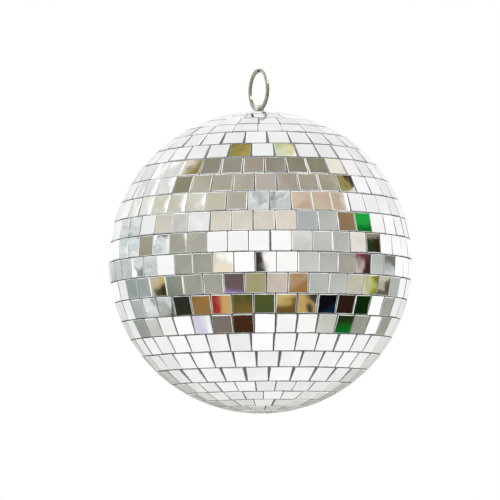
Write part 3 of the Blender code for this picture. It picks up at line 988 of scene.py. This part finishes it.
def add_bands(tree, colour, bearing, height, mottle):
    """The room's bands, laid over a colour."""
    for bands, kind in ((SOFT_BANDS, "LINEAR"), (HARD_BANDS, "CONSTANT")):
        for level, things in bands:
            lit = LIT_BY if LIT_FROM < level < LIT_TO else 1.0
            stops = []
            for place, tone in things:
                shade = CLEAR
                if tone is not None:
                    red, green, blue, alpha = srgb(*tone)
                    shade = (red * lit, green * lit, blue * lit, alpha)
                stops.append(((place + 90) / 180, shade))
            ramp = tree.ramp(tree.spread(bearing, -90, 90), stops, kind)
            band = window(tree, height, level, BAND_HALF_DEG, BAND_SOFT_DEG)
            here = product(tree, ramp.node.outputs["Alpha"], band)
            colour = tree.mix(here, colour, tree.multiply(ramp, mottle))
    return colour


def add_crumples(tree, colour, bearing, height, direction):
    """Stretches of crumpled film, laid over a colour."""
    film = tree.ramp(tree.noise(direction, 110.0, 4.0, 0.62, 1.2), FILM)
    for middle, half_wide, level, half_high in CRUMPLES:
        across = window(tree, bearing, middle, half_wide, 3.0)
        upright = window(tree, height, level, half_high, 1.5)
        colour = tree.mix(product(tree, across, upright, FILM_SHARE), colour, film)
    return colour


def add_in_tiles(tree, colour, bearing, height, laid):
    """What single tiles show, laid over a colour."""
    for half, row, where, whole, things in IN_TILES:
        middle, level, to_tile = shown_by(laid[half, row], where)
        off_along = tree.math("SUBTRACT", bearing, middle)
        off_up = tree.math("SUBTRACT", height, level)
        within = colour
        if whole:
            things = ((0, *WHOLE_EDGE, whole), *things)
        for side, edge, soft, tone in things:
            turn = math.radians(side)
            slope = Vector((math.cos(turn), math.sin(turn))) @ to_tile
            reach = tree.math("MULTIPLY_ADD", off_along, slope.x, tree.math("MULTIPLY", off_up, slope.y))
            share = tree.spread(reach, edge - soft / 2, edge + soft / 2, smooth=True)
            within = tree.mix(share, within, srgb(*tone))
        across = window(tree, bearing, middle, TILE_HALF_DEG, TILE_SOFT_DEG)
        upright = window(tree, height, level, TILE_HALF_DEG, TILE_SOFT_DEG)
        colour = tree.mix(product(tree, across, upright), colour, within)
    return colour


def build_world(laid):
    """A white tent with a room behind the lens, which only mirrors show. The lens sees plain white."""
    to_lens, right, up = view_axes()
    world = bpy.data.worlds.new("tent")
    bpy.context.scene.world = world
    world.cycles.sampling_method = "NONE"
    tree = Tree(world)
    direction = tree.add("ShaderNodeTexCoord").outputs["Generated"]
    halfway = tree.add("ShaderNodeVectorMath", operation="ADD")
    tree.put(halfway.inputs[0], direction)
    halfway.inputs[1].default_value = to_lens
    facing = tree.add("ShaderNodeVectorMath", operation="NORMALIZE")
    tree.put(facing.inputs[0], halfway.outputs[0])
    facing = facing.outputs[0]
    ahead = tree.dot(facing, Vector((to_lens.x, to_lens.y, 0)).normalized())
    degrees = 180 / math.pi
    bearing = tree.math("MULTIPLY", tree.math("ARCTAN2", tree.dot(facing, right), ahead), degrees)
    height = tree.math("MULTIPLY", tree.math("ARCSINE", tree.dot(facing, Vector((0, 0, 1)))), degrees)
    away = tree.math("MULTIPLY", tree.math("ARCCOSINE", tree.dot(facing, to_lens)), degrees)
    sway = tree.spread(tree.noise(direction, 30.0, 2.0, 0.5), 0.3, 0.7, -SWAY_DEG, SWAY_DEG)
    swayed = tree.math("ADD", bearing, sway)
    mottle = tree.ramp(tree.noise(direction, 62.0, 3.0, 0.65), MOTTLE)

    tent = tree.ramp(tree.spread(height, -90, 90), TENT)
    cloud = tree.spread(tree.noise(direction, 5.0, 3.0, 0.6), 0.35, 0.65)
    colour = tree.mix(product(tree, cloud, tree.spread(height, -40, 10, 0.22, 0.08)), tent, CLOUD)
    colour = add_bands(tree, colour, swayed, height, mottle)
    colour = add_crumples(tree, colour, swayed, height, direction)
    colour = add_in_tiles(tree, colour, bearing, height, laid)
    side_share = tree.spread(height, -4, -24, 0.0, 0.5, smooth=True)
    foot_share = tree.spread(height, -30, -60, 0.0, 0.35, smooth=True)
    far_aside = tree.spread(away, 62, 80, smooth=True)
    low_rim = product(tree, far_aside, tree.math("ADD", side_share, foot_share))
    colour = tree.mix(low_rim, colour, LOW_RIM)
    grain = tree.spread(tree.noise(direction, 46.0, 3.0, 0.6), 0.3, 0.7, 0.9, 1.08)
    shaded = tree.add("ShaderNodeVectorMath", operation="SCALE")
    tree.put(shaded.inputs[0], colour)
    tree.put(shaded.inputs["Scale"], grain)

    mirrored = tree.add("ShaderNodeBackground", inputs={"Color": shaded.outputs[0], "Strength": 1.0})
    plain = tree.add("ShaderNodeBackground", inputs={"Color": (1.0, 1.0, 1.0, 1.0), "Strength": 1.0})
    path = tree.add("ShaderNodeLightPath").outputs
    choose = tree.add("ShaderNodeMixShader")
    tree.put(choose.inputs[0], tree.math("MAXIMUM", path["Is Camera Ray"], path["Is Diffuse Ray"]))
    tree.put(choose.inputs[1], mirrored.outputs[0])
    tree.put(choose.inputs[2], plain.outputs[0])
    output = tree.add("ShaderNodeOutputWorld")
    tree.put(output.inputs["Surface"], choose.outputs[0])


def disk_lamp(name, place, wide, power):
    """A soft round lamp that shines at the origin."""
    light = bpy.data.lights.new(name, "AREA")
    light.shape = "DISK"
    light.size = wide
    light.energy = power
    lamp = bpy.data.objects.new(name, light)
    lamp.location = place
    lamp.rotation_euler = lamp.location.to_track_quat("Z", "Y").to_euler()
    bpy.context.scene.collection.objects.link(lamp)
    return lamp


def build_stage():
    """A pale round floor below the ball, and one soft lamp above."""
    solid = Solid()
    count = 96
    turns = [2 * math.pi * i / count for i in range(count)]
    inner = FLOOR_R - FLOOR_THICK
    rings = []
    for radius, z in ((FLOOR_R, FLOOR_Z - FLOOR_THICK), (FLOOR_R, FLOOR_Z), (inner, FLOOR_Z + FLOOR_RISE)):
        rings.append([solid.point((radius * math.cos(turn), radius * math.sin(turn), z)) for turn in turns])
    solid.bridge(rings[0], rings[1])
    solid.bridge(rings[1], rings[2])
    solid.face(rings[2])
    solid.face(list(reversed(rings[0])))
    mat, tree, shader, place = principled("pale_floor")
    paper = tree.noise(place, 40.0, 3.0, 0.6)
    tree.put(shader.inputs["Base Color"], tree.patches(paper, (0.90, 0.90, 0.89), (0.94, 0.94, 0.93)))
    shader.inputs["Roughness"].default_value = 0.8
    floor = solid.build("floor", [mat])
    floor.visible_glossy = False
    disk_lamp("soft_top", TOP_LAMP_AT, TOP_LAMP_WIDE, TOP_LAMP_POWER).visible_glossy = False


def build_glint(ring):
    """A small bright lamp for the ring alone, which puts the highlights on its rounded edges."""
    lamp = disk_lamp("ring_glint", GLINT_AT, GLINT_WIDE, GLINT_POWER)
    only = bpy.data.collections.new("ring_glint_lights")
    only.objects.link(ring)
    lamp.light_linking.receiver_collection = only


def build_camera():
    to_lens, right, up = view_axes()
    data = bpy.data.cameras.new("view")
    data.lens = VIEW_LENS
    data.sensor_width = 36.0
    data.clip_start = 0.05
    data.clip_end = 20.0
    camera = bpy.data.objects.new("view", data)
    target = BALL - right * AIM_RIGHT + up * AIM_UP
    place = BALL + to_lens * VIEW_DISTANCE
    back = (place - target).normalized()
    side = Vector((0, 0, 1)).cross(back).normalized()
    axes = Matrix((side, back.cross(side), back)).transposed().to_4x4()
    camera.matrix_world = Matrix.Translation(place) @ axes @ Matrix.Rotation(-VIEW_ROLL, 4, "Z")
    bpy.context.scene.collection.objects.link(camera)
    bpy.context.scene.camera = camera


# ---------------------------------------------------------------- scene

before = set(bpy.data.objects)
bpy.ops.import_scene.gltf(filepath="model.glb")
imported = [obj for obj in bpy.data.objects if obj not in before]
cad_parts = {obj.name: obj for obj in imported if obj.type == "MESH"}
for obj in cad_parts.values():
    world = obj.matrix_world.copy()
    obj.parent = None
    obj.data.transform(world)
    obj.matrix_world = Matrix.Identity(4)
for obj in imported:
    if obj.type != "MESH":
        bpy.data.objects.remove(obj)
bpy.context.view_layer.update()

glass = [mirror_material(), edge_material(), side_material(), tape_material()]
laid_tiles = build_strips(glass)
build_cap(glass)
nickel = metal_material("ring_nickel", (0.38, 0.37, 0.29), (0.62, 0.61, 0.50), 0.14, 0.26, 260.0)
build_glint(build_ring(nickel))
build_eye(eye_material())
build_glue(glue_material())
core = core_material()
carry_over("core_upper_shell", core)
carry_over("core_lower_shell", core)
washer_zinc = metal_material("washer_zinc", (0.50, 0.50, 0.50), (0.66, 0.66, 0.65), 0.2, 0.4, 300.0)
carry_over("hanger_washer", washer_zinc)
nut_zinc = metal_material("nut_zinc", (0.48, 0.48, 0.47), (0.62, 0.62, 0.60), 0.2, 0.4, 260.0)
carry_over("hanger_nut", nut_zinc)
build_world(laid_tiles)
build_stage()
build_camera()
bpy.context.scene.view_settings.view_transform = "Standard"
